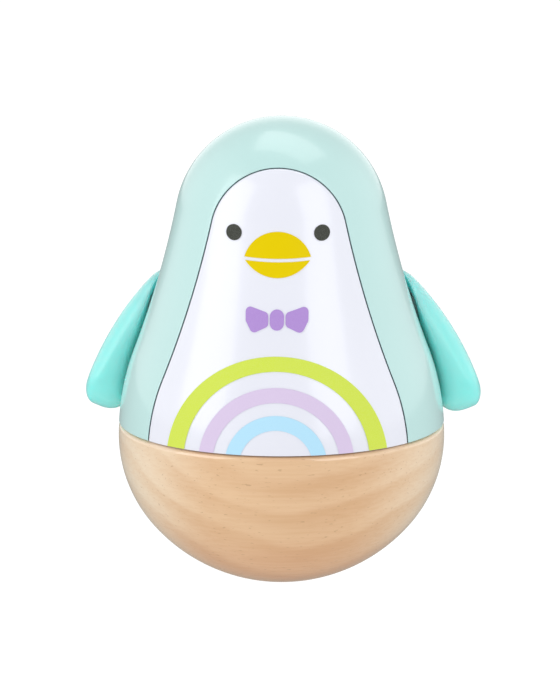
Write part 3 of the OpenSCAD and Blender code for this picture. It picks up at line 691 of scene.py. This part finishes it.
def wing_point(x, y, lift):
    """Point of the wing over a place of its base plane, from its underside at lift -1 to its face at 1."""
    low = shell_rise(math.hypot(x, y)) + WING_GAP
    face = WING_CREST - WING_FACE_R + math.sqrt(WING_FACE_R ** 2 - (x - WING_CREST_DOWN) ** 2)
    high = max(face, low + WING_THIN)
    middle = lerp(low, high, lerp(*WING_RIDGE_SHARES, max(x, 0) / WING_DOWN))
    return x, y, middle + lift * (high - middle if lift > 0 else middle - low)


def wing_ring(x, place):
    closing = round_end(WING_DOWN - x, WING_END_ROUND) * round_end(x + WING_UP, WING_TOP_ROUND)
    ring = []
    for j in range(WING_SIDES):
        a = 2 * math.pi * j / WING_SIDES
        power = WING_FACE_POWER if j < WING_SIDES / 2 else WING_INNER_POWER
        across, out = (math.copysign(abs(v) ** (2 / power), v) for v in (math.cos(a), math.sin(a)))
        ring.append(tuple(place @ Vector(wing_point(x, wing_half_w(x) * across, closing * out))))
    return ring


def wing_shape(side):
    place = on_wing(side)
    rings = []
    for i in range(WING_RINGS + 1):
        x = lerp(-WING_UP, WING_DOWN, (1 - math.cos(math.pi * i / WING_RINGS)) / 2)
        ring = wing_ring(x, place)
        rings.append(ring + ring[:1])
    blade = [p for ring in rings for p in ring], grid_faces(len(rings), WING_SIDES + 1)
    bore_top = PEG_BORE_L - PEG_L
    profile = [(0, bore_top), (PEG_BORE_R, bore_top), (PEG_BORE_R, -PEG_L), (PEG_R, -PEG_L),
               (PEG_R, COLLAR_GAP), (COLLAR_R, COLLAR_GAP), (COLLAR_R, COLLAR_IN), (0, COLLAR_IN)]
    return joined(blade, lathe(profile, PEG_SEGMENTS, place))


for side, hand in ((-1, "left"), (1, "right")):
    dressed(f"{hand}_wing_moulding", wing_shape(side), f"wing_{hand}", f"wing_{hand}")


# Prints
PATCH_RINGS, CORNER_STEPS = 8, 8
EYE_SEGMENTS, KNOT_STEPS = 64, 24
BEAK_COLUMNS, BEAK_STEPS = 72, 10
RAINBOW_ROWS, RAINBOW_STEPS = 8, 128


def film(rows):
    """Ink film over a grid of (x, z) points."""
    outer = [on_body(x, z, -INK_LIFT - INK_T) for row in rows for x, z in row]
    inner = [on_body(x, z, -INK_LIFT) for row in rows for x, z in row]
    return slab(outer, inner, grid_faces(len(rows), len(rows[0])))


def patch(edge, centre):
    """Rows from a closed outline to a centre inside it."""
    edge = edge + edge[:1]
    shares = [i / PATCH_RINGS for i in range(PATCH_RINGS + 1)]
    return [[(lerp(x, centre[0], share), lerp(z, centre[1], share)) for x, z in edge] for share in shares]


def print_piece(name, shapes, node):
    dressed(name, joined(*shapes), "body", node)


def eye(side):
    centre = (side * EYE_SPREAD / 2, head_c[1] + EYE_RISE)
    return film(patch(arc(centre, EYE_R, 0, 2 * math.pi, EYE_SEGMENTS)[:-1], centre))


print_piece("eye_prints", [eye(-1), eye(1)], "print_eyes")


def sagitta(x, half_w, rise):
    """Height at x of an arc that rises so far over a chord of twice half_w."""
    radius = (half_w ** 2 + rise ** 2) / (2 * rise)
    return math.sqrt(max(radius ** 2 - x ** 2, 0)) - radius + rise


def beak_half(upper):
    """Rows of the beak above or below the line of the mouth."""
    half_w = BEAK_W / 2
    rows = []
    for i in range(BEAK_COLUMNS + 1):
        x = half_w * math.sin(math.pi * (i / BEAK_COLUMNS - 0.5))
        mouth = -sagitta(x, half_w, MOUTH_SAG)
        if upper:
            near, far = mouth + MOUTH_T / 2, sagitta(x, half_w, BEAK_UP)
        else:
            near, far = -sagitta(x, half_w, BEAK_DOWN), mouth - MOUTH_T / 2
        if far > near:
            rows.append([(x, head_c[1] - BEAK_DROP + lerp(near, far, j / BEAK_STEPS))
                         for j in range(BEAK_STEPS + 1)])
    return rows


print_piece("beak_print", [film(beak_half(True)), film(beak_half(False))], "print_beak")


def rounded_outline(corners, radius):
    """Outline around circles at the corners, which are given anticlockwise."""
    points = []
    for i, (x, z) in enumerate(corners):
        before, after = corners[i - 1], corners[(i + 1) % len(corners)]
        start = angle_between(before, (x, z)) - math.pi / 2
        end = angle_between((x, z), after) - math.pi / 2
        while end < start:
            end += 2 * math.pi
        points += arc((x, z), radius, start, end, CORNER_STEPS)
    return points


def bow_wing(side):
    inner_x = KNOT_W / 2 + BOW_GAP + BOW_ROUND
    outer_x = BOW_W / 2 - BOW_ROUND
    inner_z, outer_z = BOW_INNER_H / 2 - BOW_ROUND, BOW_H / 2 - BOW_ROUND
    corners = [(inner_x, -inner_z), (outer_x * BOW_LEAN_SHARE, -outer_z), (outer_x, 0), (outer_x, outer_z),
               (inner_x, inner_z)]
    middle_z = head_c[1] - BOW_DROP
    edge = [(side * x, middle_z + z) for x, z in rounded_outline(corners, BOW_ROUND)]
    return film(patch(edge, (side * (inner_x + outer_x) / 2, middle_z)))


def bow_knot():
    middle_z = head_c[1] - BOW_DROP
    reach = (KNOT_H - KNOT_W) / 2
    edge = arc((0, middle_z + reach), KNOT_W / 2, 0, math.pi, KNOT_STEPS)
    edge += arc((0, middle_z - reach), KNOT_W / 2, math.pi, 2 * math.pi, KNOT_STEPS)
    return film(patch(edge, (0, middle_z)))


print_piece("bow_tie_print", [bow_wing(-1), bow_knot(), bow_wing(1)], "print_bow_tie")


def rainbow_band(outer_r, flare):
    """Rows across the band, each from the panel's lower edge on one side to the other."""
    rows = []
    for i in range(RAINBOW_ROWS + 1):
        centre = (0, seam_z - RAINBOW_DROP - flare * (1 - i / RAINBOW_ROWS))
        radius = outer_r - (flare + BAND_W) * i / RAINBOW_ROWS
        start = math.asin((body_z + PRINT_MARGIN - centre[1]) / radius)
        rows.append(arc(centre, radius, start, math.pi - start, RAINBOW_STEPS))
    return film(rows)


for name, radius in RAINBOW_RADII.items():
    band = rainbow_band(radius, RAINBOW_FLARES[name])
    print_piece(f"rainbow_print_{name}", [band], f"print_rainbow_{name}")

# CAD nodes that stay, in their procedural materials
for name, node in frame["nodes"].items():
    for place in node.material_slots:
        place.material = MATERIALS[SLOT_OF[name]]


# Stage, light and camera
FLOOR_HALF = 6000.0
FLOOR_COLOUR = (0.12, 0.12, 0.12, 1.0)
FLOOR_GLOW = 1.0
FLOOR_LIGHT = 0.9
FLOOR_SHINE = 0.15
FLOOR_SPECK_SHARE = 0.97


def studio_floor():
    """White light table, which leaves no shadow under the toy and lights it a little from below."""
    s = Shading("studio_floor")
    path = s.add("ShaderNodeLightPath").outputs
    light = s.remap(path["Is Glossy Ray"], 0, 1, FLOOR_LIGHT, FLOOR_SHINE)
    glow = s.math("MAXIMUM", s.math("MULTIPLY", path["Is Camera Ray"], FLOOR_GLOW), light)
    speck = s.remap(s.noise(0.02), 0.3, 0.7, 0, 1)
    darker = tuple(FLOOR_SPECK_SHARE * v for v in FLOOR_COLOUR)
    s.set(Base_Color=s.mix(speck, FLOOR_COLOUR, darker), Roughness=0.9, Specular_IOR_Level=0.0,
          Emission_Color=(1, 1, 1, 1), Emission_Strength=glow)
    mesh = bpy.data.meshes.new("studio_floor")
    corners = [(-1, -1), (1, -1), (1, 1), (-1, 1)]
    mesh.from_pydata([Vector((x, y, 0)) * FLOOR_HALF * MM for x, y in corners], [], [(0, 1, 2, 3)])
    mesh.materials.append(s.material)
    floor = bpy.data.objects.new("studio_floor", mesh)
    bpy.context.scene.collection.objects.link(floor)


SOFTBOX_DISTANCE = 1100.0


def softbox(name, azimuth, elevation, width, height, radiance):
    """Rectangular light that faces the toy. Azimuth 0 is in front of the face, and 90 is on the right."""
    a, e = math.radians(azimuth), math.radians(elevation)
    light = bpy.data.lights.new(name, "AREA")
    light.shape = "RECTANGLE"
    light.size, light.size_y = width * MM, height * MM
    light.energy = radiance * math.pi * light.size * light.size_y
    lamp = bpy.data.objects.new(name, light)
    way = Vector((math.sin(a) * math.cos(e), -math.cos(a) * math.cos(e), math.sin(e)))
    lamp.location = Vector((0, 0, head_c[1] * MM)) + way * SOFTBOX_DISTANCE * MM
    lamp.rotation_euler = way.to_track_quat("Z", "Y").to_euler()
    lamp.visible_camera = False
    bpy.context.scene.collection.objects.link(lamp)


WORLD_FRONT = 0.44
WORLD_BACK = 0.56
WORLD_SIDES = 0.5
WORLD_BACKDROP = 0.7


def studio_world():
    """Pale surroundings, brighter at the sides and in the middle of the backdrop, on a white background."""
    world = bpy.data.worlds.new("studio_world")
    bpy.context.scene.world = world
    world.use_nodes = True
    tree = world.node_tree
    links = tree.links

    def ramp(value, low, high, to_low, to_high):
        made = tree.nodes.new("ShaderNodeMapRange")
        made.interpolation_type = "SMOOTHSTEP"
        for key, number in {"From Min": low, "From Max": high, "To Min": to_low, "To Max": to_high}.items():
            made.inputs[key].default_value = number
        links.new(value, made.inputs["Value"])
        return made.outputs[0]

    def math_node(operation, *values):
        made = tree.nodes.new("ShaderNodeMath")
        made.operation = operation
        for socket, value in zip(made.inputs, values):
            links.new(value, socket)
        return made.outputs[0]

    way = tree.nodes.new("ShaderNodeSeparateXYZ")
    links.new(tree.nodes.new("ShaderNodeTexCoord").outputs["Generated"], way.inputs[0])
    depth = ramp(way.outputs["Y"], -0.5, 0.6, WORLD_FRONT, WORLD_BACK)
    sides = ramp(math_node("ABSOLUTE", way.outputs["X"]), 0.35, 0.95, 0, WORLD_SIDES)
    backdrop = ramp(way.outputs["Y"], 0.75, 1.0, 0, WORLD_BACKDROP)
    near = tree.nodes["Background"]
    links.new(math_node("ADD", math_node("ADD", depth, sides), backdrop), near.inputs["Strength"])
    white = tree.nodes.new("ShaderNodeBackground")
    near.inputs["Color"].default_value = white.inputs["Color"].default_value = (1, 1, 1, 1)
    mix = tree.nodes.new("ShaderNodeMixShader")
    links.new(tree.nodes.new("ShaderNodeLightPath").outputs["Is Camera Ray"], mix.inputs[0])
    links.new(near.outputs[0], mix.inputs[1])
    links.new(white.outputs[0], mix.inputs[2])
    links.new(mix.outputs[0], tree.nodes["World Output"].inputs["Surface"])


# Camera, from the place of a point on the toy's axis in the 560 x 700 picture
CAMERA_AZIMUTH = math.radians(2.0)
CAMERA_ELEVATION = math.radians(11.62)
CAMERA_DISTANCE = 900.0
FOCAL_PIXELS = 3419.0
PICTURE = (560, 700)
AXIS_POINT_Z = 58.55
AXIS_POINT_PIXEL = (281.5, 358.96)
SENSOR = 36.0
CLIP_START = 10.0


def camera():
    way = Vector((math.sin(CAMERA_AZIMUTH) * math.cos(CAMERA_ELEVATION),
                  -math.cos(CAMERA_AZIMUTH) * math.cos(CAMERA_ELEVATION), math.sin(CAMERA_ELEVATION)))
    turn = way.to_track_quat("Z", "Y")
    right, up = turn @ Vector((1, 0, 0)), turn @ Vector((0, 1, 0))
    per_pixel = CAMERA_DISTANCE / FOCAL_PIXELS
    aim = Vector((0, 0, AXIS_POINT_Z))
    aim += right * (PICTURE[0] / 2 - AXIS_POINT_PIXEL[0]) * per_pixel
    aim += up * (AXIS_POINT_PIXEL[1] - PICTURE[1] / 2) * per_pixel
    data = bpy.data.cameras.new("camera")
    data.sensor_width = SENSOR
    data.lens = FOCAL_PIXELS / PICTURE[1] * SENSOR
    data.clip_start = CLIP_START * MM
    eye_point = bpy.data.objects.new("camera", data)
    eye_point.location = (aim + way * CAMERA_DISTANCE) * MM
    eye_point.rotation_euler = turn.to_euler()
    bpy.context.scene.collection.objects.link(eye_point)
    bpy.context.scene.camera = eye_point


studio_floor()
studio_world()
softbox("left_softbox", -58, 24, 720, 1000, 1.7)
softbox("right_softbox", 41, 24, 600, 1000, 1.65)
softbox("overhead_softbox", 155, 76, 1000, 620, 1.5)
camera()
bpy.context.scene.view_settings.view_transform = "Standard"
